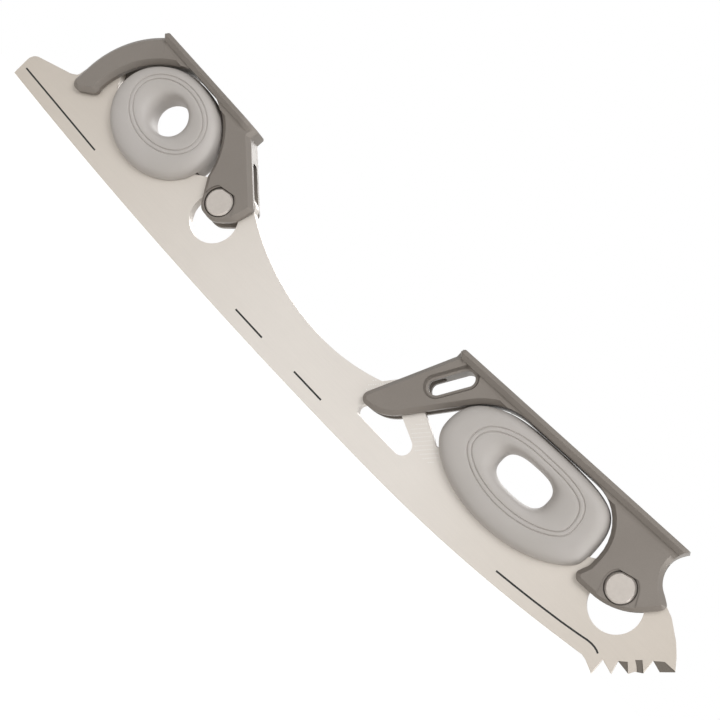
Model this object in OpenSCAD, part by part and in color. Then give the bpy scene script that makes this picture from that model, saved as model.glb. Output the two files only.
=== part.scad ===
// Cushioned figure skate blade.
// A steel runner carries two aluminium brackets. Each bracket turns a few degrees on a pivot pin
// at its front end and rests on an elastomer ring cushion behind the pin.
// X runs from heel to toe, Y across the blade and Z up to the boot. Z is zero at the ice.

/* [Runner] */
// Length of the runner from tail to toe
runner_len = 306.9; // [304:0.1:312]
// Thickness of the runner
runner_t = 4.2; // [3.8:0.1:4.6]
// Radius of the main rocker
rocker_r = 2134; // [1900:1:2600]
// Radius of the tighter rocker under the ball of the foot
spin_rocker_r = 530; // [480:1:600]
// Radius of the hollow ground along the bottom
hollow_r = 12.7; // [9.5:0.1:25]
// Height of the tail at its rear end
tail_h = 16.1; // [15:0.1:18]
// Height of the waist between the two brackets
waist_h = 19.1; // [17:0.1:20]
// Radius of the waist behind its lowest point
waist_rear_r = 96; // [93:1:100]
// Radius of the waist in front of its lowest point
waist_front_r = 75; // [70:1:80]
// Radius of the round lightening hole below each pivot
round_hole_r = 8.8; // [8.2:0.1:9]
/* [Brackets] */
// Thickness of a bracket across its two cheeks
web_t = 12; // [11.6:0.1:13]
// Width of the mounting rail on top of a bracket
rail_w = 17; // [16:0.1:20]
// Height of the upright side of the mounting rail
rail_edge_h = 1.4; // [1:0.1:2]
// Height of the sloping underside of the mounting rail
rail_slope_h = 1.6; // [1:0.1:2]
// Radius of the front corners of the heel rail seen from above
heel_nose_r = 7; // [4:0.1:7.5]
// Radius of the front corners of the sole rail seen from above
sole_nose_r = 4; // [2:0.1:6]
// Radius of the rear corners of both rails seen from above
rail_rear_r = 1.5; // [1:0.1:4]
// Width of the bevel round the edges of the cheeks
bevel = 1.3; // [0.9:0.1:1.4]
// Depth of that bevel across the blade
bevel_depth = 1.8; // [1:0.1:2]
// Clearance between the runner and each wall of a fork slot
slot_gap = 0.3; // [0.2:0.05:0.5]

/* [Heel bracket] */
// Height of the heel pivot above the ice
heel_pivot_z = 26.4; // [26:0.1:27]
// Slope of the heel plate, falling towards the toe
heel_tilt = 3.2; // [2.6:0.1:3.6]
// Height of the heel plate above its pivot
heel_plate_h = 25.8; // [25.5:0.1:27]
// Length of the heel plate
heel_plate_len = 50.3; // [49.8:0.1:51]

/* [Sole bracket] */
// Height of the sole pivot above the ice
sole_pivot_z = 31.2; // [30.9:0.1:31.8]
// Slope of the sole plate, rising towards the toe
sole_tilt = 2.6; // [2.3:0.1:3]
// Height of the sole plate above its pivot
sole_plate_h = 22.3; // [22.1:0.1:24]
// Length of the sole plate
sole_plate_len = 96.2; // [95.5:0.1:96.5]

/* [Cushions] */
// Width of each cushion across the blade
cushion_w = 14.8; // [14:0.1:16]
// Half length of the heel cushion
heel_cushion_a = 22.4; // [21.6:0.1:22.6]
// Half height of the heel cushion
heel_cushion_b = 18.7; // [17.9:0.1:18.8]
// Radius of the hole through the heel cushion
heel_eye_r = 6.7; // [5.5:0.1:7.5]
// Half length of the sole cushion
sole_cushion_a = 31; // [30:0.1:31.2]
// Half height of the sole cushion
sole_cushion_b = 16.9; // [16:0.1:17]
// Half length of the hole through the sole cushion
sole_eye_a = 10.2; // [9:0.1:11]
// Half height of the hole through the sole cushion
sole_eye_b = 5.8; // [5:0.1:6.5]
// Depth of the groove in which the runner's cradle sits
cradle_depth = 3.4; // [2.6:0.1:3.8]

/* [Pivots and stops] */
// Radius of the pivot pin shank
pin_r = 3; // [2.6:0.1:3.1]
// Radius of the pivot pin head
pin_head_r = 4.9; // [4.6:0.1:5]
// Running clearance between pin and bush, on the radius
pin_clearance = 0.04; // [0.02:0.01:0.08]
// Wall of the pivot bush
bush_wall = 1.1; // [0.8:0.1:1.3]
// Radius of the stop pin in each rear arm
stop_pin_r = 1.5; // [1.2:0.1:1.5]
// Wall of the soft sleeve on each stop pin
sleeve_wall = 0.8; // [0.6:0.05:0.85]

/* [Fixings] */
// Radius of the thread in each mounting insert, measured over the crests
thread_r = 2.5; // [2:0.1:2.5]
// Wall of a mounting insert
insert_wall = 0.8; // [0.6:0.1:1]
// Length of a mounting insert
insert_len = 5; // [4:0.1:5]
// Spacing of the two heel inserts
heel_insert_pitch = 39; // [38:0.1:39.5]
// Spacing of the two front sole inserts
sole_front_pitch = 14; // [13:0.1:14.5]
// Spacing from the rear sole insert to the middle one
sole_rear_pitch = 58; // [57:0.1:58.5]

/* [Hidden] */
$fn = 64;
overlap = 1;

// Runner stations, in the frame of the whole blade
toe_x = runner_len / 2;
tail_x = -toe_x;
ground_end_x = toe_x - 23;

// Pivots, in the frame of the whole blade
heel_pivot_x = tail_x + 93.6;
sole_pivot_x = toe_x - 28.9;
rocker_x = sole_pivot_x - 110.3;
spin_x = sole_pivot_x - 80.3;
waist_x = (heel_pivot_x + sole_pivot_x) / 2 - 33.1;
heel_hole = [1.4, -5.2];
sole_hole = [2.5, -4.9];
boss_r = 5.4;

// Cushion centres, in the frame of their bracket
heel_cushion_at = [-37, 3.9];
sole_cushion_at = [-44.6, 1.8];
eye_lift = 2.4;
seat_gap = 0.3;
cradle_gap = 0.3;

// Bracket details, in the frame of their bracket
web_half = web_t / 2;
slot_half = runner_t / 2 + slot_gap;
web_top = 31;
heel_rail_front = -10.2;
sole_rail_front = 9.4;
neck_half = web_half + 1;
fillet_h = 1.6;
heel_front_roof = 17.6;
heel_rear_roof = 13;
sole_front_roof = 15.6;
sole_rear_roof = 11.5;
head_recess = 0.2;
head_h = 1.9;
head_gap = 0.45;
key_angle = 103;
key_flat = 0.3;
pocket_h = 0.6;
pocket_r = 5.9;
washer_t = 0.8;
washer_gap = 0.05;
screw_r = 1.6;
screw_len = 5;
window_r = 2.6;
window_low = [-85.3, 7.1];
window_high = [-79.7, 15.9];
window_bevel = 1.4;
front_arc_at = [15.3, 16];
front_arc_r = 9.5;
trim = 0.05;

// Stop pins and guide pads, in the frame of their bracket
heel_stop_at = [-68.2, -1.7];
sole_stop_at = [-94.2, -7];
stop_pin_blind = 2;
stop_gap = 0.3;
stop_travel = 4.4;
sleeve_slack = 0.02;
pad_t = 0.6;
pad_gap = 0.15;
pad_r = 1.8;
heel_pad_at = [-67.6, -7.8];
sole_pad_at = [-91.4, -1.6];

// Mounting inserts, in the frame of their bracket
heel_insert_u = -55.5;
sole_insert_u = 0;

// Rounds the corners of an outline whose points are [x, z, radius]
function unit(v) = v / norm(v);
function xz(p) = [p[0], p[1]];
function corner_arc(a, p, b, r, steps = 4) =
    let (u = unit(a - p), v = unit(b - p))
    let (half = acos(max(-1, min(1, u * v))) / 2)
    let (centre = p + unit(u + v) * r / sin(half))
    let (start = p + u * r / tan(half), end = p + v * r / tan(half))
    let (from = atan2(start[1] - centre[1], start[0] - centre[0]))
    let (to = atan2(end[1] - centre[1], end[0] - centre[0]))
    let (turn = to - from > 180 ? to - from - 360 : to - from < -180 ? to - from + 360 : to - from)
    [for (i = [0 : steps]) centre + r * [cos(from + turn * i / steps), sin(from + turn * i / steps)]];
function rounded(points) =
    let (n = len(points))
    [for (i = [0 : n - 1])
        let (p = points[i], a = points[(i + n - 1) % n], b = points[(i + 1) % n])
        each (p[2] > 0 ? corner_arc(xz(a), xz(p), xz(b), p[2]) : [xz(p)])];
function turned(p, angle) = [p[0] * cos(angle) - p[1] * sin(angle), p[0] * sin(angle) + p[1] * cos(angle)];
// Points of an arc about a centre, as sharp outline points
function arc(at, r, from, to, steps) =
    [for (i = [0 : steps]) let (t = from + (to - from) * i / steps) [at[0] + r * cos(t), at[1] + r * sin(t), 0]];
// A point of an oval, which is fuller than an ellipse where its power is above two: its upper corner
// towards the toe and its upper corner towards the heel each have their own fullness
function full(v, power) = sign(v) * pow(abs(v), 2 / power);
function oval_at(a, b, t, power) = [a * full(cos(t), power), b * full(sin(t), power)];
function oval_power(t, full) = 2 + full[0] * pow(max(0, cos(t - 45)), 2) + full[1] * pow(max(0, cos(t - 135)), 2);
function oval(at, a, b, from, to, steps, tilt = 0) =
    [for (i = [0 : steps])
        let (t = from + (to - from) * i / steps)
        let (p = at + turned(oval_at(a, b, t, 2), tilt))
        [p[0], p[1], 0]];

// Moves an outline that runs anticlockwise inwards by a distance
function side_normal(a, b) = let (d = unit(b - a)) [-d[1], d[0]];
function inset(path, by) =
    let (n = len(path))
    [for (i = [0 : n - 1])
        let (before = side_normal(path[(i + n - 1) % n], path[i]))
        let (after = side_normal(path[i], path[(i + 1) % n]))
        path[i] + by * (before + after) / (1 + before * after)];
function area(path) =
    let (n = len(path))
    let (parts = [for (i = [0 : n - 1]) let (a = path[i], b = path[(i + 1) % n]) a[0] * b[1] - a[1] * b[0]])
    parts * [for (p = parts) 0.5];
function anticlockwise(path) =
    area(path) > 0 ? path : [for (i = [len(path) - 1 : -1 : 0]) path[i]];

// Stands a flat drawing of x and z upright and gives it a thickness about Y zero
module plate_of(thickness) {
    rotate([90, 0, 0]) linear_extrude(thickness, center = true) children();
}

// A cylinder across the blade, from one Y to another
module across(at, r, from, to) {
    translate([at[0], to, at[1]]) rotate([90, 0, 0]) cylinder(r = r, h = to - from);
}

// Skins a closed ring of outlines that all have the same number of points
module skin(rings, closed) {
    n = len(rings[0]);
    m = len(rings);
    bands = closed ? m : m - 1;
    sides = [for (j = [0 : bands - 1]) for (i = [0 : n - 1])
        [j * n + i, j * n + (i + 1) % n, ((j + 1) % m) * n + (i + 1) % n, ((j + 1) % m) * n + i]];
    caps = closed ? [] : [[for (i = [n - 1 : -1 : 0]) i], [for (i = [0 : n - 1]) (m - 1) * n + i]];
    polyhedron([for (ring = rings) each ring], concat(sides, caps), convexity = 8);
}

// A plate with a bevel round both faces, its bevels run on a little past the faces so that a cut makes those flat
module bevelled_plate(outline, thickness) {
    path = anticlockwise(outline);
    inner = inset(path, bevel * (1 + bevel_over / bevel_depth));
    half = thickness / 2;
    end = half + bevel_over;
    stations = [[inner, -end], [path, bevel_depth - half], [path, half - bevel_depth], [inner, end]];
    skin([for (s = stations) [for (p = s[0]) [p[0], s[1], p[1]]]], false);
}
bevel_over = 0.2;

// Places a bracket's own frame, whose origin is at its pivot and whose X runs along its plate
module heel_frame() {
    translate([heel_pivot_x, 0, heel_pivot_z]) rotate([0, heel_tilt, 0]) children();
}
module sole_frame() {
    translate([sole_pivot_x, 0, sole_pivot_z]) rotate([0, -sole_tilt, 0]) children();
}
function heel_to_blade(p) = [heel_pivot_x, heel_pivot_z] + turned(p, -heel_tilt);
function sole_to_blade(p) = [sole_pivot_x, sole_pivot_z] + turned(p, sole_tilt);

// Height of the ground bottom edge, and its slope angle
function main_z(x) = rocker_r - sqrt(rocker_r * rocker_r - pow(x - rocker_x, 2));
spin_angle = asin((spin_x - rocker_x) / rocker_r);
spin_centre = [spin_x - spin_rocker_r * sin(spin_angle), main_z(spin_x) + spin_rocker_r * cos(spin_angle)];
function ground_z(x) =
    x < spin_x ? main_z(x) : spin_centre[1] - sqrt(pow(spin_rocker_r, 2) - pow(x - spin_centre[0], 2));

// Toe picks, from the drag pick up to the toe
function from_x(x, points) = [for (p = points) [x + p[0], p[1], p[2]]];
picks = from_x(toe_x, [[-21.3, 8.2, 0], [-17, 6.4, 0], [-17.6, 12, 0], [-12.8, 10.7, 0], [-14.1, 15, 0],
    [-9.3, 14.5, 0], [-8.5, 16.3, 0], [-6.3, 17.9, 0], [-6.9, 22.7, 0], [-3.2, 21.7, 0], [0, 25.05, 0]]);

// How far from its lowest point an arc of the waist has risen by a height
function reach_for(r, rise) = sqrt(r * r - pow(r - rise, 2));
function waist_arc(r, from, to, steps) =
    [for (i = [0 : steps])
        let (x = from + (to - from) * i / steps)
        [x, waist_h + r - sqrt(r * r - pow(x - waist_x, 2)), 0]];

// Cushion centres and the cradles cut for them, in the frame of the whole blade
heel_cushion_mid = heel_to_blade(heel_cushion_at);
sole_cushion_mid = sole_to_blade(sole_cushion_at);
function heel_cradle() =
    oval(heel_cushion_mid, heel_cushion_a - cradle_depth + cradle_gap,
        heel_cushion_b - cradle_depth + cradle_gap, 210, 334, 24, -heel_tilt);
function sole_cradle() =
    oval(sole_cushion_mid, sole_cushion_a - cradle_depth + cradle_gap,
        sole_cushion_b - cradle_depth + cradle_gap, 204, 344, 30, sole_tilt);

waist_rear_reach = min(waist_x - heel_pivot_x - 10.3, reach_for(waist_rear_r, 13.5));
waist_front_reach = min(sole_pivot_x - 100.3 - waist_x, reach_for(waist_front_r, 4.3));
runner_top = concat(
    from_x(tail_x, [[0, tail_h, 3.8], [16.55, 20.95, 6], [18.85, 22.4, 1.5], [21.25, 33.5, 2], [29.05, 36, 3],
        [35.35, 26.6, 0.8]]),
    heel_cradle(),
    from_x(heel_pivot_x, [[-11.2, 29.7, 0.8], [-8.75, 33.4, 2], [0, 37.5, 7], [9.35, 34.5, 3]]),
    waist_arc(waist_rear_r, waist_x - waist_rear_reach, waist_x, 12),
    waist_arc(waist_front_r, waist_x + 3, waist_x + waist_front_reach, 8),
    from_x(sole_pivot_x, [[-93.8, 31.5, 3], [-71.95, 21, 0.8]]),
    sole_cradle(),
    from_x(sole_pivot_x, [[-11.8, 32.2, 0.6], [-8.15, 39, 3], [0, 41.5, 7], [9.45, 38.7, 6], [16.7, 36, 4],
        [22.9, 31.6, 7], [26.1, 28.5, 8]]));
runner_ground = [for (i = [0 : 36]) let (x = tail_x + (ground_end_x - tail_x) * i / 36) [x, ground_z(x), 0]];
runner_outline = rounded(concat(runner_ground, picks, [for (i = [len(runner_top) - 1 : -1 : 0]) runner_top[i]]));

// Triangular window under the sole bracket's rear arm, which its stop pin passes through
triangle = rounded(from_x(sole_pivot_x, [[-100.7, 10.2, 2.2], [-63.9, 10.2, 3.3], [-94.9, 23.2, 2]]));

heel_pivot = [heel_pivot_x, heel_pivot_z];
sole_pivot = [sole_pivot_x, sole_pivot_z];
bush_r = pin_r + pin_clearance + bush_wall;
sleeve_r = stop_pin_r + sleeve_slack + sleeve_wall;
heel_stop = heel_to_blade(heel_stop_at);

// The groove ground along the bottom, swept along the rocker
hollow_half = runner_t / 2 - 0.12;
hollow_top = hollow_r - sqrt(hollow_r * hollow_r - hollow_half * hollow_half);
function hollow_rise(y) = sqrt(hollow_r * hollow_r - y * y) - sqrt(hollow_r * hollow_r - hollow_half * hollow_half);
module hollow_cut() {
    stations = [for (i = [-1 : 36]) tail_x + (ground_end_x - tail_x) * i / 36];
    profile = concat(
        [for (i = [-3 : 3]) let (y = hollow_half * i / 3) [y, hollow_rise(y)]],
        [[hollow_half, -overlap], [-hollow_half, -overlap]]);
    skin([for (x = stations) [for (p = profile) [x, p[0], ground_z(x) + p[1]]]], false);
}

// Blade
module runner_hole(pivot, offset) {
    difference() {
        across(pivot + offset, round_hole_r, -runner_t, runner_t);
        across(pivot, boss_r, -runner_t - overlap, runner_t + overlap);
    }
}
module stop_slot() {
    hull() {
        translate(heel_stop) circle(r = sleeve_r + stop_gap);
        translate(heel_stop - [0, stop_travel]) circle(r = sleeve_r + stop_gap);
    }
}
module runner() {
    color("#DAD3CB") difference() {
        plate_of(runner_t) difference() {
            polygon(runner_outline);
            polygon(triangle);
            stop_slot();
        }
        runner_hole(heel_pivot, heel_hole);
        runner_hole(sole_pivot, sole_hole);
        across(heel_pivot, bush_r, -runner_t, runner_t);
        across(sole_pivot, bush_r, -runner_t, runner_t);
        hollow_cut();
    }
}

// Pivot bushes, pressed into the runner
module pivot_bush(pivot) {
    difference() {
        across(pivot, bush_r, -runner_t / 2, runner_t / 2);
        across(pivot, pin_r + pin_clearance, -runner_t, runner_t);
    }
}
module heel_pivot_bush() color("#B08D57") pivot_bush(heel_pivot);
module sole_pivot_bush() color("#B08D57") pivot_bush(sole_pivot);

// Ring cushions: each ring of the skin is [half length, half height, y, lift, fullness]
module ring_cushion(a, b, eye_a, eye_b, full_top, eye_full) {
    half = cushion_w / 2;
    mid_a = eye_a + 0.66 * (a - eye_a);
    mid_b = eye_b + 0.6 * (b - eye_b);
    side = [[a, b, 0, 0, 1], [a - 0.25, b - 0.25, 0.3, 0, 1], [a - 1.1, b - 1.05, 0.58, 0.05, 1],
        [a - 2.6, b - 2.4, 0.81, 0.2, 1], [a - 4.4, b - 4, 0.94, 0.5, 1],
        [mid_a + 1.2, mid_b + 1.1, 1, 1, 0.6], [mid_a + 0.9, mid_b + 0.8, 0.95, 1, 0.6],
        [mid_a + 0.6, mid_b + 0.5, 1, 1, 0.6], [mid_a - 1.4, mid_b - 1.4, 1, 1, 0.5],
        [eye_a + 3.4, eye_b + 3.2, 0.93, 1, 0.4], [eye_a + 1.5, eye_b + 1.4, 0.78, 1, 0.2],
        [eye_a + 0.5, eye_b + 0.5, 0.62, 1, 0], [eye_a, eye_b, 0.45, 1, 0]];
    back = [for (i = [len(side) - 1 : -1 : 1]) [side[i][0], side[i][1], -side[i][2], side[i][3], side[i][4]]];
    steps = 40;
    skin([for (r = concat(side, back)) [for (k = [0 : steps - 1])
        let (t = 360 * k / steps)
        let (power = oval_power(t, full_top * r[4]) + eye_full * (1 - r[4]))
        let (p = oval_at(r[0], r[1], t, power))
        [p[0], r[2] * half, p[1] + r[3] * eye_lift]]], true);
}
module cradle_groove(a, b, from, to) {
    depth = cradle_depth + 2 * cradle_gap;
    inner = oval([0, 0], a - depth, b - depth, from, to, 30);
    outer = oval([0, 0], a + overlap, b + overlap, to, from, 30);
    plate_of(runner_t + 2 * cradle_gap) polygon([for (p = concat(inner, outer)) xz(p)]);
}
module heel_cushion() {
    color("#BDB9B5") heel_frame() translate([heel_cushion_at[0], 0, heel_cushion_at[1]]) difference() {
        ring_cushion(heel_cushion_a, heel_cushion_b, heel_eye_r, heel_eye_r, [0.1, 0], 0);
        cradle_groove(heel_cushion_a, heel_cushion_b, 198, 351);
    }
}
module sole_cushion() {
    color("#BDB9B5") sole_frame() translate([sole_cushion_at[0], 0, sole_cushion_at[1]]) difference() {
        ring_cushion(sole_cushion_a, sole_cushion_b, sole_eye_a, sole_eye_b, [1.6, 0.5], 0.8);
        cradle_groove(sole_cushion_a, sole_cushion_b, 192, 356);
    }
}

// Bracket outlines, drawn in the frame of each bracket
heel_seat_h = heel_cushion_at[1] + heel_cushion_b + seat_gap;
heel_seat = concat(
    arc([-33.5, -5.1], 29.9, 180, 180 - asin((heel_seat_h + 5.1) / 29.9), 10),
    arc([-38.8, -5.1], 29.4, asin((heel_seat_h + 5.1) / 29.4), 16, 8));
heel_outline = rounded(concat(
    [[-60.4, web_top, 0], [-60.4, 24.6, 0]],
    arc([-36.2, -2.95], 36.3, 132, 180, 10),
    [[-72.5, -12.1, 2.7], [-68.4, -11.7, 2], [-62.4, -7.3, 2]],
    heel_seat,
    [[-6.9, -1.9, 4], [-3.6, -6.2, 4], [2.8, -6.5, 5.5], [8.4, -0.9, 7], [10.3, 6.8, 2], [-10.4, 22.5, 0],
        [-10.4, web_top, 0]]));
sole_seat_h = sole_cushion_at[1] + sole_cushion_b + seat_gap;
sole_outline = rounded(concat(
    [[-87.3, web_top, 0], [-87.3, 19, 0], [-103.2, -12.85, 2.5], [-91.65, -11.85, 13.5], [-66.3, sole_seat_h, 22.5],
        [-11.5, sole_seat_h, 16.4], [-11.5, -1.3, 3.5], [-13.3, -5.5, 1.8], [-11.75, -7.45, 1.6], [4, -7.4, 22],
        [14.7, 5, 1.8]],
    arc(front_arc_at, front_arc_r, 243, 140, 9),
    [[7.9, web_top, 0]]));

// The rail on top of a bracket: upright sides, a sloping underside and a fillet down to the cheeks
module rail(front, length, top, cut, nose_r) {
    half = rail_w / 2;
    slope = top - rail_edge_h - rail_slope_h;
    low = slope - fillet_h;
    back = front - length;
    side = [[half, top], [half, top - rail_edge_h], [neck_half, slope], [neck_half - 0.5, slope - fillet_h * 0.3],
        [neck_half - 0.85, slope - fillet_h * 0.65], [web_half - trim, low]];
    mirrored = [for (i = [len(side) - 1 : -1 : 0]) [-side[i][0], side[i][1]]];
    plan = rounded([[back, -half, rail_rear_r], [front, -half, nose_r], [front, half, nose_r], [back, half, rail_rear_r]]);
    difference() {
        intersection() {
            translate([back - overlap, 0, 0]) rotate([90, 0, 90]) linear_extrude(length + 2 * overlap)
                polygon(concat(side, mirrored));
            translate([0, 0, low - overlap]) linear_extrude(top - low + 2 * overlap) polygon(plan);
        }
        plate_of(rail_w + 2 * overlap) polygon(cut);
    }
}
// The web of a bracket, cut off at its two faces and just under the top of its rail
module web(outline, top) {
    intersection() {
        bevelled_plate(outline, web_t);
        translate([-120, -web_half, -40]) cube([160, web_t, 40 + top - 6 * trim]);
    }
}

// A fork slot, open below
module fork_slot(from_u, to_u, floor_w, roof_w) {
    translate([from_u, -slot_half, floor_w]) cube([to_u - from_u, 2 * slot_half, roof_w - floor_w]);
}

// The seats cut for a pivot pin, its screw and its thrust washers
head_seat_y = web_half - head_recess - head_h;
module keyed_disc(r, flat, from, to) {
    intersection() {
        across([0, 0], r, from, to);
        rotate([0, 90 - key_angle, 0])
            translate([-2 * r, from, -2 * r]) cube([4 * r, to - from, 2 * r + flat]);
    }
}
module pivot_cuts() {
    keyed_disc(pin_head_r + head_gap, pin_head_r - key_flat + 0.1, -web_half - overlap, -head_seat_y);
    across([0, 0], pin_head_r + 0.2, head_seat_y, web_half + overlap);
    across([0, 0], pin_r + 0.01, -web_half, web_half);
    across([0, 0], washer_r + 0.1, -slot_half - washer_depth, slot_half + washer_depth);
}
washer_depth = runner_t / 2 + washer_gap + washer_t - slot_half;
washer_r = 5.2;

// A shallow pocket round the pin on the near face, open towards the bottom edge between two leaning sides,
// with the flat of the pin head's seat
function side_of(r, at, lean) = r * [cos(at), sin(at)] + 3 * r * [sin(lean), -cos(lean)];
module pin_pocket(toe_lean, heel_lean) {
    key = [cos(key_angle), sin(key_angle)];
    flat = pin_head_r - key_flat + 0.15;
    round_end = [for (p = arc([0, 0], pocket_r, toe_lean, 180 + heel_lean, 18)) xz(p)];
    keyed = [for (p = round_end) p - key * max(0, p * key - flat)];
    translate([0, -web_half, 0]) plate_of(2 * pocket_h)
        polygon(concat(keyed, [side_of(pocket_r, 180 + heel_lean, heel_lean), side_of(pocket_r, toe_lean, toe_lean)]));
}

module stop_hole(at) across(at, stop_pin_r + 0.01, stop_pin_blind - web_half, web_half + overlap);
pad_outer = runner_t / 2 + pad_gap + pad_t;
module pad_pair(at) {
    across(at, pad_r, -pad_outer, pad_t - pad_outer);
    across(at, pad_r, pad_outer - pad_t, pad_outer);
}
module insert_holes(places, top) {
    for (u = places) translate([u, 0, top - insert_len])
        cylinder(r = thread_r + insert_wall, h = insert_len + overlap);
}
module insert_set(places, top) {
    for (u = places) translate([u, 0, top - insert_len]) difference() {
        cylinder(r = thread_r + insert_wall, h = insert_len);
        translate([0, 0, -overlap]) cylinder(r = thread_r, h = insert_len + 2 * overlap);
    }
}

// Heel bracket
heel_places = [heel_insert_u, heel_insert_u + heel_insert_pitch];
heel_under_rail = [for (p = concat(heel_seat, [[-11, -8, 0], [-63.4, -8, 0]])) [p[0], p[1] + trim]];
module heel_bracket() {
    color("#827C76") heel_frame() difference() {
        union() {
            web(heel_outline, heel_plate_h);
            rail(heel_rail_front, heel_plate_len, heel_plate_h, heel_under_rail, heel_nose_r);
        }
        fork_slot(-16, 20, -20, heel_front_roof);
        fork_slot(-90, -55, -20, heel_rear_roof);
        pivot_cuts();
        pin_pocket(32, 2);
        stop_hole(heel_stop_at);
        across(heel_pad_at, pad_r, -pad_outer, pad_outer);
        insert_holes(heel_places, heel_plate_h);
    }
}

// Sole bracket
sole_places = [sole_insert_u, sole_insert_u - sole_front_pitch, sole_insert_u - sole_front_pitch - sole_rear_pitch];
module window(r, thickness) {
    run = window_high - window_low;
    lean = atan2(run[1], run[0]);
    ends = concat(arc(window_high, r, lean - 90, lean + 90, 10), arc(window_low, r, lean + 90, lean + 270, 10));
    plate_of(thickness) polygon([for (p = ends) xz(p)]);
}
module window_cut() {
    window(window_r, web_t + 2 * overlap);
    for (side = [-1, 1]) translate([0, side * web_half, 0]) window(window_r + window_bevel, 2 * window_bevel);
}
sole_seat = rounded([[-80, 2.2, 0], [-66.3, sole_seat_h, 22.5], [-11.5, sole_seat_h, 16.4], [-11.5, 1, 0]]);
front_arc = arc(front_arc_at, front_arc_r + trim, 270, 90, 12);
module sole_bracket() {
    color("#827C76") sole_frame() difference() {
        union() {
            web(sole_outline, sole_plate_h);
            difference() {
                rail(sole_rail_front, sole_plate_len, sole_plate_h, [for (p = sole_seat) p + [0, trim]], sole_nose_r);
                plate_of(rail_w + 2 * overlap) polygon([for (p = front_arc) xz(p)]);
            }
        }
        fork_slot(-16, 20, -20, sole_front_roof);
        fork_slot(-110, -74, -20, sole_rear_roof);
        pivot_cuts();
        pin_pocket(27, 16);
        stop_hole(sole_stop_at);
        across(sole_pad_at, pad_r, -pad_outer, pad_outer);
        window_cut();
        insert_holes(sole_places, sole_plate_h);
    }
}

// Pivot pins, keyed by a flat on the head, each held by a screw from the far side
module pivot_pin() {
    difference() {
        union() {
            keyed_disc(pin_head_r, pin_head_r - key_flat, head_recess - web_half, -head_seat_y);
            across([0, 0], pin_r, -head_seat_y - 1, head_seat_y);
        }
        across([0, 0], screw_r, head_seat_y - screw_len - 1, head_seat_y + overlap);
    }
}
module pin_screw() {
    difference() {
        union() {
            across([0, 0], pin_head_r, head_seat_y, web_half - head_recess);
            across([0, 0], screw_r, head_seat_y - screw_len, head_seat_y);
        }
        translate([0, web_half - head_recess + 0.01, 0]) rotate([90, 0, 0]) cylinder(r = 1.7, h = 1.3, $fn = 6);
    }
}
module thrust_washers() {
    for (side = [-1, 1]) difference() {
        across([0, 0], washer_r, side * (slot_half + washer_depth - washer_t / 2) - washer_t / 2,
            side * (slot_half + washer_depth - washer_t / 2) + washer_t / 2);
        across([0, 0], pin_r + 0.05, -web_half, web_half);
    }
}
module heel_pivot_pin() color("#BCB5AF") heel_frame() pivot_pin();
module sole_pivot_pin() color("#BCB5AF") sole_frame() pivot_pin();
module heel_pin_screw() color("#BCB5AF") heel_frame() pin_screw();
module sole_pin_screw() color("#BCB5AF") sole_frame() pin_screw();
module heel_thrust_washers() color("#E8E4DA") heel_frame() thrust_washers();
module sole_thrust_washers() color("#E8E4DA") sole_frame() thrust_washers();

// Stop pins with their sleeves, in the rear arms
module stop_pin(at) across(at, stop_pin_r, stop_pin_blind - web_half, web_half - 0.4);
module stop_sleeve(at) {
    difference() {
        across(at, sleeve_r, 0.15 - slot_half, slot_half - 0.15);
        across(at, stop_pin_r + sleeve_slack, -web_half, web_half);
    }
}
module heel_stop_pin() color("#9C9C9C") heel_frame() stop_pin(heel_stop_at);
module sole_stop_pin() color("#9C9C9C") sole_frame() stop_pin(sole_stop_at);
module heel_stop_sleeve() color("#2E2C2A") heel_frame() stop_sleeve(heel_stop_at);
module sole_stop_sleeve() color("#2E2C2A") sole_frame() stop_sleeve(sole_stop_at);

// Guide pads in the rear forks, and the mounting inserts in the rails
module heel_guide_pads() color("#E8E4DA") heel_frame() pad_pair(heel_pad_at);
module sole_guide_pads() color("#E8E4DA") sole_frame() pad_pair(sole_pad_at);
module heel_inserts() color("#A8A49E") heel_frame() insert_set(heel_places, heel_plate_h);
module sole_inserts() color("#A8A49E") sole_frame() insert_set(sole_places, sole_plate_h);

runner();
heel_pivot_bush();
sole_pivot_bush();
heel_cushion();
sole_cushion();
heel_bracket();
heel_pivot_pin();
heel_pin_screw();
heel_thrust_washers();
heel_stop_pin();
heel_stop_sleeve();
heel_guide_pads();
heel_inserts();
sole_bracket();
sole_pivot_pin();
sole_pin_screw();
sole_thrust_washers();
sole_stop_pin();
sole_stop_sleeve();
sole_guide_pads();
sole_inserts();
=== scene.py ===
import math

import bmesh
import bpy
from mathutils import Matrix, Vector


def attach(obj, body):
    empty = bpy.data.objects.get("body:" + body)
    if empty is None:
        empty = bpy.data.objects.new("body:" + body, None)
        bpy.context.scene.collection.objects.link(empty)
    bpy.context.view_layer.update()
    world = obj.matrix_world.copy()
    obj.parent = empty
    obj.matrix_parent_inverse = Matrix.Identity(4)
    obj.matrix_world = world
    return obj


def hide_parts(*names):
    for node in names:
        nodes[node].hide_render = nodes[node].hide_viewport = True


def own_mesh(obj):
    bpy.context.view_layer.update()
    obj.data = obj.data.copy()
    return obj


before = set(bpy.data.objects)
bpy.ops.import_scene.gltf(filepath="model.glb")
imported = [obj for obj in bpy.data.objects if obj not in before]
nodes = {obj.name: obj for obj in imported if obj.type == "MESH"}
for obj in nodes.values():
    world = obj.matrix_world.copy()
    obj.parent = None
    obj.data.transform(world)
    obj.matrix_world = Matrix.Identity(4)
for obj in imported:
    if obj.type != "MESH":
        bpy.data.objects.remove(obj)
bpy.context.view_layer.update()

MM = 0.001

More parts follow.
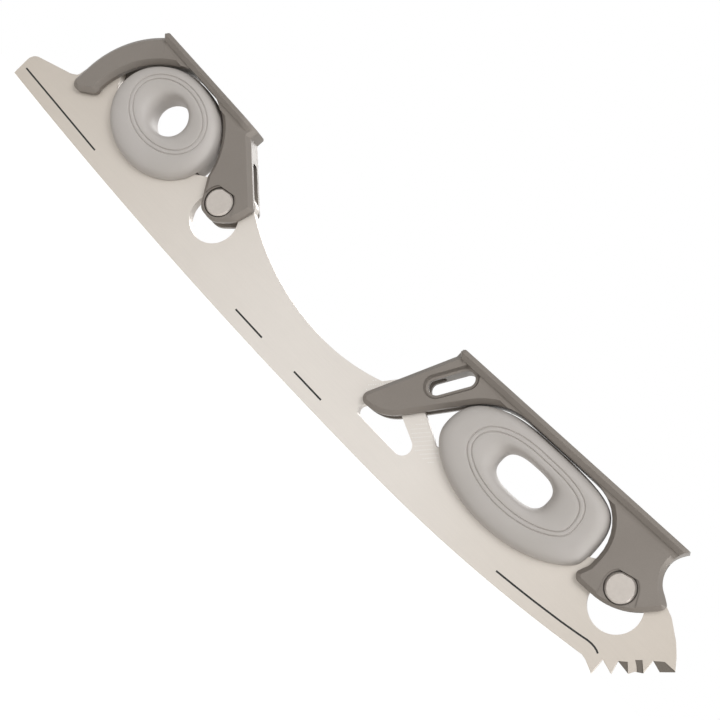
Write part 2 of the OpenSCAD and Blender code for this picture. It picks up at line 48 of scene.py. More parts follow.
# Sizes in millimetres and angles in degrees, as in the solids
HEEL_PIVOT = (-59.85, 26.4)
SOLE_PIVOT = (124.55, 31.2)
HEEL_TILT = -3.2
SOLE_TILT = 2.6
WEB_HALF = 6.0
BEVEL = 1.5
BEVEL_DEPTH = 1.8
SLOT_HALF = 2.4
RAIL_HALF = 8.5
RUNNER_HALF = 2.1
PIN_HEAD_R = 4.9
PIN_R = 3.0
PIN_THREAD_R = 1.6
KEY_ANGLE = 103
POCKET_R = 5.9
INSERT_R = 3.3
INSERT_LEN = 5
WINDOW_ENDS = ((-85.3, 7.1), (-79.7, 15.9))
WINDOW_R = 2.6
FRONT_ARC = (15.3, 16)
FRONT_ARC_R = 9.5
HEEL_STOP = (-68.2, -1.7)
SOLE_STOP = (-94.2, -7.0)
HEEL_PAD = (-67.6, -7.8)
SOLE_PAD = (-91.4, -1.6)
PAD_R = 1.8
PAD_SEAT_HALF = 2.85
STOP_HOLE_R = 1.51
WASHER_SEAT_R = 5.3
WASHER_SEAT_HALF = 2.95

# Ring cushions: centre in the frame of the bracket, half length and half height, and those of the hole
HEEL_CUSHION_AT = (-37, 3.9)
HEEL_CUSHION = (22.4, 18.7)
HEEL_EYE = (6.7, 6.7)
SOLE_CUSHION_AT = (-44.6, 1.8)
SOLE_CUSHION = (31, 16.9)
SOLE_EYE = (10.2, 5.8)
CUSHION_HALF = 7.4
EYE_LIFT = 2.4
SEAT_GAP = 0.3

# Runner
TOE = 153.45
GROUND_END = 130.45
ROCKER_R = 2134
ROCKER_X = 14.25
SPIN_ROCKER_R = 530
SPIN_X = 44.25
WAIST_X = -0.75
WAIST_H = 19.1
WAIST_REAR_R = 96
WAIST_FRONT_R = 75
CRADLE_DEPTH = 3.1
HOLLOW_R = 12.7
HOLLOW_HALF = 1.98
EDGE_BREAK = 0.12
HOLE_R = 8.8
BOSS_R = 5.4
BUSH_R = 4.14
STOP_SLOT_R = 2.62
STOP_TRAVEL = 4.4

# Marks on the runner's faces
LINE_WIDTH = 0.62
DOT_R = 0.17
DOT_PITCH = 0.78
ROW_PITCH = 1.4
ROW_SLANT = 46.7


# Outlines
def arc(at, r, start, end, steps):
    """Points of an arc about a centre, with the radius 0 of a corner that isn't rounded."""
    out = []
    for i in range(steps + 1):
        t = math.radians(start + (end - start) * i / steps)
        out.append((at[0] + r * math.cos(t), at[1] + r * math.sin(t), 0))
    return out


def rounded(points, steps=8):
    """Rounds the corners of an outline whose points are (x, z, radius)."""
    out = []
    n = len(points)
    for i, point in enumerate(points):
        p = Vector(point[:2])
        if point[2] <= 0:
            out.append(p)
            continue
        u = (Vector(points[i - 1][:2]) - p).normalized()
        v = (Vector(points[(i + 1) % n][:2]) - p).normalized()
        half = math.acos(max(-1, min(1, u.dot(v)))) / 2
        centre = p + (u + v).normalized() * point[2] / math.sin(half)
        start = p + u * point[2] / math.tan(half) - centre
        end = p + v * point[2] / math.tan(half) - centre
        a = math.atan2(start.y, start.x)
        turn = (math.atan2(end.y, end.x) - a + math.pi) % (2 * math.pi) - math.pi
        out += [centre + point[2] * Vector((math.cos(a + turn * k / steps), math.sin(a + turn * k / steps)))
                for k in range(steps + 1)]
    return out


def flat(points):
    """Outline points without their corner radius."""
    return [Vector(p[:2]) for p in points]


def along(angle):
    """The unit vector at an angle in degrees."""
    return Vector((math.cos(math.radians(angle)), math.sin(math.radians(angle))))


def anticlockwise(path):
    total = sum(a.x * b.y - a.y * b.x for a, b in zip(path, path[1:] + path[:1]))
    return path if total > 0 else path[::-1]


def inset(path, by):
    """Moves an anticlockwise outline inwards, keeping its number of points."""
    out = []
    n = len(path)
    for i, p in enumerate(path):
        d1 = (p - path[i - 1]).normalized()
        d2 = (path[(i + 1) % n] - p).normalized()
        n1 = Vector((-d1.y, d1.x))
        n2 = Vector((-d2.y, d2.x))
        out.append(p + by * (n1 + n2) / (1 + n1.dot(n2)))
    return out


def turned(p, angle):
    c = math.cos(math.radians(angle))
    s = math.sin(math.radians(angle))
    return Vector((p[0] * c - p[1] * s, p[0] * s + p[1] * c))


def heel(p):
    """From the heel bracket's own frame, whose origin is its pivot, to the blade's."""
    return Vector(HEEL_PIVOT) + turned(p, HEEL_TILT)


def sole(p):
    """From the sole bracket's own frame, whose origin is its pivot, to the blade's."""
    return Vector(SOLE_PIVOT) + turned(p, SOLE_TILT)


def same(p):
    return Vector(p)


# Meshes
def new_object(name, vertices, faces):
    mesh = bpy.data.meshes.new(name)
    mesh.from_pydata([tuple(c * MM for c in v) for v in vertices], [], faces)
    obj = bpy.data.objects.new(name, mesh)
    bpy.context.scene.collection.objects.link(obj)
    return obj


def skin(name, rings, closed=False):
    """A solid skinned over rings of points, capped at both ends unless it closes on itself."""
    n = len(rings[0])
    m = len(rings)
    vertices = [p for ring in rings for p in ring]
    faces = []
    for j in range(m if closed else m - 1):
        k = (j + 1) % m
        faces += [(j * n + i, j * n + (i + 1) % n, k * n + (i + 1) % n, k * n + i) for i in range(n)]
    if not closed:
        faces.append(tuple(range(n - 1, -1, -1)))
        faces.append(tuple((m - 1) * n + i for i in range(n)))
    obj = new_object(name, vertices, faces)
    outward(obj)
    return obj


def outward(obj):
    """Merges doubles and turns every face outwards."""
    bm = bmesh.new()
    bm.from_mesh(obj.data)
    bmesh.ops.remove_doubles(bm, verts=bm.verts, dist=1e-6)
    bmesh.ops.recalc_face_normals(bm, faces=bm.faces)
    bm.to_mesh(obj.data)
    bm.free()


def slab(name, place, outline, y_from, y_to):
    """A flat outline given a thickness across the blade."""
    path = [place(p) for p in outline]
    return skin(name, [[(p.x, y, p.y) for p in path] for y in (y_from, y_to)])


def across(name, place, at, r, y_from, y_to, count=72):
    """A round bar across the blade."""
    return slab(name, place, flat(arc(at, r, 0, 360 - 360 / count, count - 1)), y_from, y_to)


def combine(obj, cutter, operation):
    """Boolean with the exact solver, applied to obj; the cutter is removed."""
    mod = obj.modifiers.new("cut", "BOOLEAN")
    mod.operation = operation
    mod.solver = "EXACT"
    mod.object = cutter
    apply_all(obj)
    bpy.data.objects.remove(cutter)


def cut(obj, *cutters):
    for cutter in cutters:
        combine(obj, cutter, "DIFFERENCE")


def apply_all(obj):
    """Puts what the modifiers make in place of the mesh."""
    depsgraph = bpy.context.evaluated_depsgraph_get()
    mesh = bpy.data.meshes.new_from_object(obj.evaluated_get(depsgraph))
    obj.modifiers.clear()
    obj.data = mesh


def smooth(obj, angle=30):
    """Smooth shading with sharp edges kept sharp."""
    for p in obj.data.polygons:
        p.use_smooth = True
    bm = bmesh.new()
    bm.from_mesh(obj.data)
    bmesh.ops.remove_doubles(bm, verts=bm.verts, dist=2e-6)
    bmesh.ops.dissolve_degenerate(bm, dist=1e-6, edges=bm.edges)
    for e in bm.edges:
        if len(e.link_faces) == 2:
            e.smooth = e.calc_face_angle(0) < math.radians(angle)
    bm.to_mesh(obj.data)
    bm.free()


def finish_piece(obj, name, body, material, replaced=()):
    """Names a piece, gives it its finish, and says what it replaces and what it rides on."""
    obj.name = name
    obj.data.name = name
    if material:
        obj.data.materials.clear()
        obj.data.materials.append(material)
    if replaced:
        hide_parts(*replaced)
    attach(obj, body)
    return obj


# Materials
def colour(code):
    """sRGB hex to linear."""
    out = []
    for i in (1, 3, 5):
        c = int(code[i:i + 2], 16) / 255
        out.append(c / 12.92 if c <= 0.04045 else ((c + 0.055) / 1.055) ** 2.4)
    return (*out, 1)


def add(tree, kind, settings=None, **inputs):
    """Adds a node, sets its properties, and fills or links its inputs."""
    node = tree.nodes.new(kind)
    for key, value in (settings or {}).items():
        setattr(node, key, value)
    for key, value in inputs.items():
        numbered = key[0] == "i" and key[1:].isdigit()
        socket = node.inputs[int(key[1:]) if numbered else key.replace("_", " ")]
        if isinstance(value, bpy.types.NodeSocket):
            tree.links.new(value, socket)
        else:
            socket.default_value = value
    return node


def ramp(tree, factor, stops):
    """Colours, or grey levels, along a factor."""
    node = add(tree, "ShaderNodeValToRGB", Fac=factor)
    elements = node.color_ramp.elements
    while len(elements) < len(stops):
        elements.new(0.5)
    for element, (place, code) in zip(elements, stops):
        element.position = place
        element.color = colour(code) if isinstance(code, str) else (code, code, code, 1)
    return node.outputs["Color"]


def start_material(name):
    material = bpy.data.materials.new(name)
    material.use_nodes = True
    tree = material.node_tree
    shader = tree.nodes["Principled BSDF"]
    place = add(tree, "ShaderNodeTexCoord").outputs["Object"]
    return material, tree, shader, place


def grain(tree, place, scale, detail=3.0, stretch=(1, 1, 1)):
    """Noise whose feature size is 1 / scale metres, stretched along an axis where asked."""
    mapped = add(tree, "ShaderNodeMapping", Vector=place, Scale=stretch).outputs["Vector"]
    noise = add(tree, "ShaderNodeTexNoise", Vector=mapped, Scale=scale, Detail=detail, Roughness=0.55)
    return noise.outputs["Fac"]


def bump(tree, height, distance):
    return add(tree, "ShaderNodeBump", Height=height, Distance=distance, Strength=1.0).outputs["Normal"]


def gloss(tree, shader, factor, low, high):
    """Varies the roughness with a pattern."""
    spread = add(tree, "ShaderNodeMapRange", Value=factor, To_Min=low, To_Max=high).outputs["Result"]
    tree.links.new(spread, shader.inputs["Roughness"])


def stainless(name, low, high, rough, brush_mm=0.25):
    """Ground stainless steel: fine scratches run along the blade, and a painted sheen makes it lighter along
    the middle and darker towards tail and toe.
    """
    material, tree, shader, place = start_material(name)
    lengthways = add(tree, "ShaderNodeSeparateXYZ", Vector=place).outputs["X"]
    painted_sheen_middle = add(tree, "ShaderNodeMapRange", Value=lengthways, From_Min=-0.155,
                 From_Max=0.155).outputs["Result"]
    # Painted sheen: the colour is lighter in the middle of the blade and darker towards tail and toe
    tone = ramp(tree, painted_sheen_middle, [(0.0, low), (0.45, high), (0.66, high), (1.0, low)])
    lines = grain(tree, place, 1 / (brush_mm * MM), 2.0, (0.03, 1, 1))
    cloudy = grain(tree, place, 60, 3.0)
    veil = add(tree, "ShaderNodeMixRGB", {"blend_type": "MULTIPLY"}, Fac=0.10, Color1=tone,
               Color2=ramp(tree, lines, [(0.3, 0.75), (0.7, 1.0)])).outputs["Color"]
    veil = add(tree, "ShaderNodeMixRGB", {"blend_type": "MULTIPLY"}, Fac=0.06, Color1=veil,
               Color2=ramp(tree, cloudy, [(0.3, 0.7), (0.7, 1.0)])).outputs["Color"]
    tree.links.new(veil, shader.inputs["Base Color"])
    gloss(tree, shader, lines, rough - 0.05, rough + 0.06)
    tree.links.new(bump(tree, lines, 0.004 * MM), shader.inputs["Normal"])
    shader.inputs["Metallic"].default_value = 0.25
    return material


def anodised(name, base, dark):
    """Bead blasted and hard anodised aluminium: an even fine grit over a faint cloudiness."""
    material, tree, shader, place = start_material(name)
    grit = grain(tree, place, 1 / (0.35 * MM), 4.0)
    patch = grain(tree, place, 45, 2.0)
    tone = ramp(tree, patch, [(0.3, dark), (0.7, base)])
    speck = ramp(tree, grit, [(0.35, 0.88), (0.65, 1.0)])
    tone = add(tree, "ShaderNodeMixRGB", {"blend_type": "MULTIPLY"}, Fac=0.5, Color1=tone,
               Color2=speck).outputs["Color"]
    tree.links.new(tone, shader.inputs["Base Color"])
    gloss(tree, shader, grit, 0.42, 0.55)
    tree.links.new(bump(tree, grit, 0.012 * MM), shader.inputs["Normal"])
    shader.inputs["Metallic"].default_value = 0.3
    return material


def moulded(name, base, shade, rough, grit_mm=0.4, depth_mm=0.01):
    """Moulded elastomer or plastic: a faint cloudiness and the fine texture of its mould."""
    material, tree, shader, place = start_material(name)
    cloud = grain(tree, place, 55, 3.0)
    grit = grain(tree, place, 1 / (grit_mm * MM), 3.0)
    tone = ramp(tree, cloud, [(0.3, shade), (0.7, base)])
    tree.links.new(tone, shader.inputs["Base Color"])
    gloss(tree, shader, grit, rough - 0.05, rough + 0.05)
    tree.links.new(bump(tree, grit, depth_mm * MM), shader.inputs["Normal"])
    shader.inputs["IOR"].default_value = 1.5
    return material


def turned_metal(name, base, shade, rough, metallic=0.6):
    """Metal turned on a lathe, too fine to show its rings: a faint change of tone and gloss."""
    material, tree, shader, place = start_material(name)
    wave = add(tree, "ShaderNodeTexNoise", Vector=place, Scale=900.0, Detail=2.0).outputs["Fac"]
    tree.links.new(ramp(tree, wave, [(0.35, shade), (0.65, base)]), shader.inputs["Base Color"])
    gloss(tree, shader, wave, rough - 0.04, rough + 0.06)
    tree.links.new(bump(tree, wave, 0.004 * MM), shader.inputs["Normal"])
    shader.inputs["Metallic"].default_value = metallic
    return material


# Pale warm steel with a soft sheen, partly painted: its colour is lighter along the middle of the blade
satin_steel = stainless("satin_ground_stainless_steel", "#CFC6BB", "#E7E1DA", 0.42)
# Warm grey metal, even and matt
bracket_finish = anodised("bead_blasted_anodised_aluminium", "#89827B", "#837C75")
# Pale grey and quite matt, with no visible grain
cushion_finish = moulded("moulded_polyurethane_elastomer", "#C3BEBA", "#BDB8B3", 0.6, 0.5, 0.004)
# Brighter than the bracket round it
pin_finish = turned_metal("turned_satin_stainless_steel", "#C3BCB5", "#BFB8B1", 0.36)
# Dull yellow brown, seen only in a bore
bronze_finish = turned_metal("sintered_bearing_bronze", "#B08D57", "#9C7B49", 0.4, 0.9)
# Waxy off-white plastic
bearing_finish = moulded("moulded_acetal", "#E8E4DA", "#DEDACF", 0.45)
# Dull black rubber
sleeve_finish = moulded("moulded_black_nitrile_rubber", "#2E2C2A", "#262422", 0.7)
# Plain grey steel under the screw holes
insert_finish = turned_metal("plain_steel_insert", "#A8A49E", "#938F89", 0.38, 0.9)
# Flat black in the engraved lines
ink_finish = moulded("black_enamel_in_engraving", "#171717", "#101010", 0.55)
# Lighter than the steel and without its sheen
etch_finish = moulded("white_etched_dots", "#FFFFFF", "#F4F2EE", 0.7)
# Cut facets of the toe picks: the runner's steel in darker colours, which is painted shade
pick_facet_painted_shade = stainless("pick_steel_painted_shade", "#6E675F", "#7A736B", 0.5)

# Brackets, drawn in their own frames
seat_top_heel = HEEL_CUSHION_AT[1] + HEEL_CUSHION[1] + SEAT_GAP
heel_seat = (arc((-33.5, -5.1), 29.9, 180, 180 - math.degrees(math.asin((seat_top_heel + 5.1) / 29.9)), 40)
             + arc((-38.8, -5.1), 29.4, math.degrees(math.asin((seat_top_heel + 5.1) / 29.4)), 16, 32))
heel_outline = rounded([(-60.4, 31, 0), (-60.4, 24.6, 0)] + arc((-36.2, -2.95), 36.3, 132, 180, 36)
                       + [(-72.5, -12.1, 2.7), (-68.4, -11.7, 2), (-62.4, -7.3, 2)] + heel_seat
                       + [(-6.9, -1.9, 4), (-3.6, -6.2, 4), (2.8, -6.5, 5.5), (8.4, -0.9, 7), (10.3, 6.8, 2),
                          (-10.4, 22.5, 0), (-10.4, 31, 0)])
seat_top_sole = SOLE_CUSHION_AT[1] + SOLE_CUSHION[1] + SEAT_GAP
sole_outline = rounded([(-87.3, 31, 0), (-87.3, 19, 0), (-103.2, -12.85, 2.5), (-91.65, -11.85, 13.5),
                        (-66.3, seat_top_sole, 22.5), (-11.5, seat_top_sole, 16.4), (-11.5, -1.3, 3.5),
                        (-13.3, -5.5, 1.8), (-11.75, -7.45, 1.6), (4, -7.4, 22), (14.7, 5, 1.8)]
                       + arc(FRONT_ARC, FRONT_ARC_R, 243, 140, 36) + [(7.9, 31, 0)], 10)


def bevelled_web(name, place, outline):
    """The two cheeks in one, with a bevel round both faces."""
    path = anticlockwise(flat(outline))
    inner = inset(path, BEVEL)
    wall_half = WEB_HALF - BEVEL_DEPTH
    rings = []
    for ring, y in ((inner, -WEB_HALF), (path, -wall_half), (path, wall_half), (inner, WEB_HALF)):
        rings.append([(p.x, y, p.y) for p in map(place, ring)])
    return skin(name, rings)


def rail(name, place, front, back, top, nose, rear, end_slope):
    """The head of a bracket. One ring of its plan for each height keeps its corners round to the bottom."""
    edge_h = 1.4
    slope_end = 3.0
    fillet_h = 1.7
    levels = [(RAIL_HALF - 0.2, 0.0), (RAIL_HALF, -0.2), (RAIL_HALF, -edge_h), (7.0, -slope_end)]
    for angle in (22, 45, 67):
        a = math.radians(angle)
        levels.append((6.0 + (1 - math.sin(a)), -slope_end - fillet_h * (1 - math.cos(a))))
    levels.append((5.9, -slope_end - fillet_h))
    rings = []
    for half, drop in levels:
        pull = RAIL_HALF - half
        shift = end_slope * max(0.0, 1 + drop / edge_h)
        nose_r = max(0.6, nose - pull)
        rear_r = max(0.5, rear - pull)
        rear_x = back + pull + shift
        front_x = front - pull * 0.3
        plan = rounded([(rear_x, -half, rear_r), (front_x, -half, nose_r), (front_x, half, nose_r),
                        (rear_x, half, rear_r)], 14)
        ring = []
        for p in plan:
            q = place((p.x, top + drop))
            ring.append((q.x, p.y, q.y))
        rings.append(ring)
    return skin(name, rings)


def block(name, place, u0, u1, w0, w1, half):
    """A box in a bracket's frame, from u0 to u1 along its plate and w0 to w1 up from it."""
    corners = [Vector((u0, w0)), Vector((u1, w0)), Vector((u1, w1)), Vector((u0, w1))]
    return slab(name, place, corners, -half, half)


def fork(name, place, u0, u1, w0, w1):
    """A slot for the runner with a rounded roof."""
    r = 1.2
    profile = [(-SLOT_HALF, w0), (SLOT_HALF, w0), (SLOT_HALF, w1 - r)]
    for angle in (30, 60, 90):
        a = math.radians(angle)
        profile.append((SLOT_HALF - r + r * math.cos(a), w1 - r + r * math.sin(a)))
    for angle in (90, 60, 30, 0):
        a = math.radians(angle)
        profile.append((-SLOT_HALF + r - r * math.cos(a), w1 - r + r * math.sin(a)))
    rings = []
    for u in (u0, u1):
        rings.append([(place((u, w)).x, y, place((u, w)).y) for y, w in profile])
    return skin(name, rings)


def keyed(name, place, r, flat_at, y_from, y_to, rim=0.0):
    """A disc with one flat on its edge, and a small bevel on its near rim."""
    key = along(KEY_ANGLE)
    ring = []
    for i in range(96):
        p = along(360 * i / 96) * r
        over = p.dot(key) - flat_at
        ring.append(p - key * over if over > 0 else p)
    stations = [(y_from, rim), (y_from + rim, 0), (y_to, 0)] if rim else [(y_from, 0), (y_to, 0)]
    rings = []
    for y, pull in stations:
        rings.append([(q.x, y, q.y) for q in (place(p * (1 - pull / r)) for p in ring)])
    return skin(name, rings)


def pocket(name, place, toe_lean, heel_lean):
    """The shallow pocket round a pin: an arc with one flat, open below between leaning sides."""
    depth = 0.55
    key = along(KEY_ANGLE)
    points = []
    for p in flat(arc((0, 0), POCKET_R, toe_lean, 180 + heel_lean, 48)):
        points.append(p - key * max(0.0, p.dot(key) - (PIN_HEAD_R - 0.15)))
    for at, lean in ((180 + heel_lean, heel_lean), (toe_lean, toe_lean)):
        points.append(POCKET_R * along(at) + 18 * along(lean - 90))
    return slab(name, place, points, -WEB_HALF - 1, -WEB_HALF + depth)


def stadium(a, b, r, steps=20):
    """The outline of a slot with round ends."""
    lean = math.degrees(math.atan2(b[1] - a[1], b[0] - a[0]))
    return flat(arc(b, r, lean - 90, lean + 90, steps) + arc(a, r, lean + 90, lean + 270, steps))


def bored(name, place, at, top):
    """The seat of a threaded insert, square to the plate."""
    turns = [math.tau * i / 48 for i in range(48)]
    rings = []
    for w in (top - INSERT_LEN, top + 1):
        ring = []
        for t in turns:
            q = place((at + INSERT_R * math.cos(t), w))
            ring.append((q.x, INSERT_R * math.sin(t), q.y))
        rings.append(ring)
    return skin(name, rings)


def bracket(name, place, outline, seat, top, head_sizes, forks, inserts, pocket_leans, stop, pad, extra):
    """A bracket from its web, its head and all that is cut from them."""
    body = bevelled_web(name, place, outline)
    cut(body, block("top", place, -130, 40, top - 0.3, 60, 20))
    head = rail("head", place, top=top, **head_sizes)
    cut(head, slab("seat", place, [Vector((p[0], p[1] + 0.03)) for p in seat], -12, 12))
    for cutter in extra("head"):
        cut(head, cutter)
    combine(body, head, "UNION")
    for u0, u1, roof in forks:
        cut(body, fork("fork", place, u0, u1, -20, roof))
    cut(body, pocket("pocket", place, *pocket_leans))
    cut(body, keyed("seat", place, PIN_HEAD_R + 0.45, PIN_HEAD_R - 0.2, -WEB_HALF - 1, -3.9))
    cut(body, across("far", place, (0, 0), PIN_HEAD_R + 0.2, 3.9, WEB_HALF + 1))
    cut(body, across("bore", place, (0, 0), PIN_R + 0.01, -WEB_HALF, WEB_HALF))
    cut(body, across("washer", place, (0, 0), WASHER_SEAT_R, -WASHER_SEAT_HALF, WASHER_SEAT_HALF))
    cut(body, across("stop", place, stop, STOP_HOLE_R, -4, WEB_HALF + 1))
    cut(body, across("pad", place, pad, PAD_R, -PAD_SEAT_HALF, PAD_SEAT_HALF))
    for u in inserts:
        cut(body, bored("hole", place, u, top))
    for cutter in extra("body"):
        cut(body, cutter)
    smooth(body, 28)
    return body


def no_extra(stage):
    return []


def sole_extra(stage):
    """The concave front end of the sole bracket's head, then the slot window in its arm, with its rim."""
    if stage == "head":
        return [slab("arc", sole, flat(arc(FRONT_ARC, FRONT_ARC_R + 0.05, 270, 90, 40)), -12, 12)]
    out = [slab("window", sole, stadium(*WINDOW_ENDS, WINDOW_R), -8, 8)]
    rim = ((1.9, 6.6), (1.5, 6.0), (1.25, 5.0), (0.75, 4.4), (0.0, 4.25))
    for side in (-1, 1):
        rings = []
        for grow, y in rim:
            rings.append([(q.x, side * y, q.y) for q in map(sole, stadium(*WINDOW_ENDS, WINDOW_R + grow))])
        out.append(skin("rim", rings))
    return out


heel_bracket = bracket(
    "heel_bracket_body", heel, heel_outline, heel_seat + [(-11, -8, 0), (-63.4, -8, 0)], top=25.8,
    head_sizes={"front": -10.2, "back": -60.5, "nose": 7, "rear": 1.5, "end_slope": 1.0},
    forks=[(-16, 20, 17.6), (-90, -55, 13)], inserts=[-55.5, -16.5], pocket_leans=(32, 2),
    stop=HEEL_STOP, pad=HEEL_PAD, extra=no_extra)
sole_seat = rounded([(-80, 2.2, 0), (-66.3, seat_top_sole, 22.5), (-11.5, seat_top_sole, 16.4),
                     (-11.5, 1, 0)], 14)
sole_bracket = bracket(
    "sole_bracket_body", sole, sole_outline, sole_seat, top=22.3,
    head_sizes={"front": 9.4, "back": -86.8, "nose": 4.0, "rear": 1.5, "end_slope": 0.6},
    forks=[(-16, 20, 15.6), (-110, -74, 11.5)], inserts=[-72, -14, 0], pocket_leans=(27, 16),
    stop=SOLE_STOP, pad=SOLE_PAD, extra=sole_extra)
finish_piece(heel_bracket, "heel_bracket_body", "heel_mount", bracket_finish,
             ("heel_bracket",))
finish_piece(sole_bracket, "sole_bracket_body", "sole_mount", bracket_finish,
             ("sole_bracket",))

# Pivot pins
for side, place in (("heel", heel), ("sole", sole)):
    pin = keyed("pin", place, PIN_HEAD_R, PIN_HEAD_R - 0.3, -WEB_HALF + 0.1, -3.8, 0.6)
    shank = across("shank", place, (0, 0), PIN_R, -4.5, 3.9)
    cut(shank, across("thread", place, (0, 0), PIN_THREAD_R, -2.0, 5))
    combine(pin, shank, "UNION")
    smooth(pin, 25)
    finish_piece(pin, side + "_pin_turned", side + "_mount", pin_finish, (side + "_pivot_pin",))


# Ring cushions
def full(v, power):
    """Bends a sine or cosine so that its oval comes out fuller: an ellipse has the power 2."""
    return math.copysign(abs(v) ** (2 / power), v)


def fullness_at(t, corners):
    """How much fuller than an ellipse an oval is, with a value for its upper corner to each side."""
    toe = max(0.0, math.cos(t - math.radians(45))) ** 2
    heelward = max(0.0, math.cos(t - math.radians(135))) ** 2
    return corners[0] * toe + corners[1] * heelward


def cushion_levels(size, eye, groove, groove_at):
    """Half of a ring cushion's section, from its rim over its side to its hole. Each level is half length,
    half height, y, x and z of its centre, share of the corners' fullness and share of the hole's."""
    a, b = size
    eye_a, eye_b = eye
    groove_a, groove_b = groove
    x, z = groove_at
    shoulder = 4.6
    crown = ((0, 0), (0.02, 0.18), (0.12, 0.36), (0.34, 0.52), (0.7, 0.66), (1.2, 0.78), (1.85, 0.87),
             (2.65, 0.93), (3.6, 0.97), (shoulder, 0.992))
    # Two moulded grooves side by side: how far out from the outer one, and how deep
    grooves = ((0.5, 0.04), (0.28, 0.07), (0.12, 0.3), (0.0, 0.42), (-0.12, 0.3), (-0.28, 0.05), (-0.5, 0),
               (-1.0, 0.0), (-1.25, 0.05), (-1.38, 0.3), (-1.5, 0.42), (-1.62, 0.3), (-1.78, 0.05),
               (-2.1, 0.0))
    levels = []
    for pull, share in crown:
        rise = z * (pull / shoulder) ** 2 * 0.5
        levels.append((a - pull, b - pull * 0.96, CUSHION_HALF * share, 0, rise, 1, 0))
    for off, depth in grooves:
        levels.append((groove_a + off, groove_b + off, CUSHION_HALF - depth, x, z, 0.7, 0))
    inner_a = groove_a + grooves[-1][0]
    inner_b = groove_b + grooves[-1][0]
    for t in (0.14, 0.3, 0.46, 0.6, 0.72, 0.82, 0.9, 0.96, 1.0):
        y = CUSHION_HALF * (1 - 0.12 * t ** 1.5 - 0.5 * t ** 6)
        levels.append((inner_a + (eye_a - inner_a) * t, inner_b + (eye_b - inner_b) * t, y, x * (1 - t),
                       z + (EYE_LIFT - z) * t, 0.7 * (1 - t), t))
    levels.append((eye_a, eye_b, CUSHION_HALF * 0.15, 0, EYE_LIFT, 0, 1))
    return levels


def ring_cushion(name, place, at, size, eye, corners, eye_full, groove, groove_at, lane_from, lane_to):
    """A moulded ring lofted over ovals, with the lane that the runner's cradle sits in."""
    near = cushion_levels(size, eye, groove, groove_at)
    far = [(a, b, -y, x, z, f, e) for a, b, y, x, z, f, e in near[:0:-1]]
    steps = 160
    rings = []
    for a, b, y, x, z, f, e in near + far:
        ring = []
        for k in range(steps):
            t = math.tau * k / steps
            power = 2 + eye_full * e + f * fullness_at(t, corners)
            p = place((at[0] + x + a * full(math.cos(t), power), at[1] + z + b * full(math.sin(t), power)))
            ring.append((p.x, y, p.y))
        rings.append(ring)
    obj = skin(name, rings, closed=True)
    lane = []
    for grow, angles in ((-4.0, range(lane_from, lane_to + 1, 3)), (2, range(lane_to, lane_from - 1, -3))):
        for angle in angles:
            t = math.radians(angle)
            x = at[0] + (size[0] + grow) * math.cos(t)
            z = at[1] + (size[1] + grow) * math.sin(t)
            lane.append(Vector((x, z)))
    cut(obj, slab("lane", place, lane, -SLOT_HALF, SLOT_HALF))
    smooth(obj, 40)
    return obj


heel_cushion = ring_cushion(
    "heel_cushion_ring", heel, HEEL_CUSHION_AT, HEEL_CUSHION, HEEL_EYE, corners=(0.1, 0.0), eye_full=0.0,
    groove=(16.4, 12.3), groove_at=(0.3, 2.6), lane_from=198, lane_to=351)
sole_cushion = ring_cushion(
    "sole_cushion_ring", sole, SOLE_CUSHION_AT, SOLE_CUSHION, SOLE_EYE, corners=(1.6, 0.5), eye_full=0.8,
    groove=(21.6, 11.0), groove_at=(0.8, 1.8), lane_from=192, lane_to=356)
for side, obj in (("heel", heel_cushion), ("sole", sole_cushion)):
    finish_piece(obj, side + "_cushion_ring", "blade", cushion_finish,
                 (side + "_cushion",))
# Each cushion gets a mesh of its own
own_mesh(heel_cushion)
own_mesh(sole_cushion)


# Runner
def main_z(x):
    """Height of the main rocker."""
    return ROCKER_R - math.sqrt(ROCKER_R ** 2 - (x - ROCKER_X) ** 2)


spin_angle = math.asin((SPIN_X - ROCKER_X) / ROCKER_R)
spin_centre = (SPIN_X - SPIN_ROCKER_R * math.sin(spin_angle),
               main_z(SPIN_X) + SPIN_ROCKER_R * math.cos(spin_angle))


def ground_z(x):
    """Height of the ground edge, whose rocker tightens under the ball of the foot."""
    if x < SPIN_X:
        return main_z(x)
    return spin_centre[1] - math.sqrt(SPIN_ROCKER_R ** 2 - (x - spin_centre[0]) ** 2)


def cradle(place, at, size, start, end, steps, tilt):
    """The hollow in the runner's top edge that a cushion sits in."""
    centre = place(at)
    a = size[0] - CRADLE_DEPTH
    b = size[1] - CRADLE_DEPTH
    out = []
    for i in range(steps + 1):
        t = math.radians(start + (end - start) * i / steps)
        p = centre + turned((a * math.cos(t), b * math.sin(t)), tilt)
        out.append((p.x, p.y, 0))
    return out


def waist(r, start, end, steps):
    """Part of the hollow in the runner's top edge between the brackets."""
    out = []
    for i in range(steps + 1):
        x = start + (end - start) * i / steps
        out.append((x, WAIST_H + r - math.sqrt(r * r - (x - WAIST_X) ** 2), 0))
    return out


tops = ([(-TOE, 16.1, 3.8), (-136.9, 20.95, 6), (-134.6, 22.4, 1.5), (-132.2, 33.5, 2), (-124.4, 36, 3),
         (-118.1, 26.6, 0.8)]
        + cradle(heel, HEEL_CUSHION_AT, HEEL_CUSHION, 210, 334, 48, HEEL_TILT)
        + [(-71.05, 29.7, 0.8), (-68.6, 33.4, 2), (-59.85, 37.5, 7), (-50.5, 34.5, 3)]
        + waist(WAIST_REAR_R, -49.55, WAIST_X, 40) + waist(WAIST_FRONT_R, 1, 24.25, 24)
        + [(30.75, 31.5, 3), (52.6, 21, 0.8)]
        + cradle(sole, SOLE_CUSHION_AT, SOLE_CUSHION, 204, 344, 60, SOLE_TILT)
        + [(112.75, 32.2, 0.6), (116.4, 39, 3), (124.55, 41.5, 7), (134, 38.7, 6), (141.25, 36, 4),
           (147.45, 31.6, 7), (150.65, 28.5, 8)])
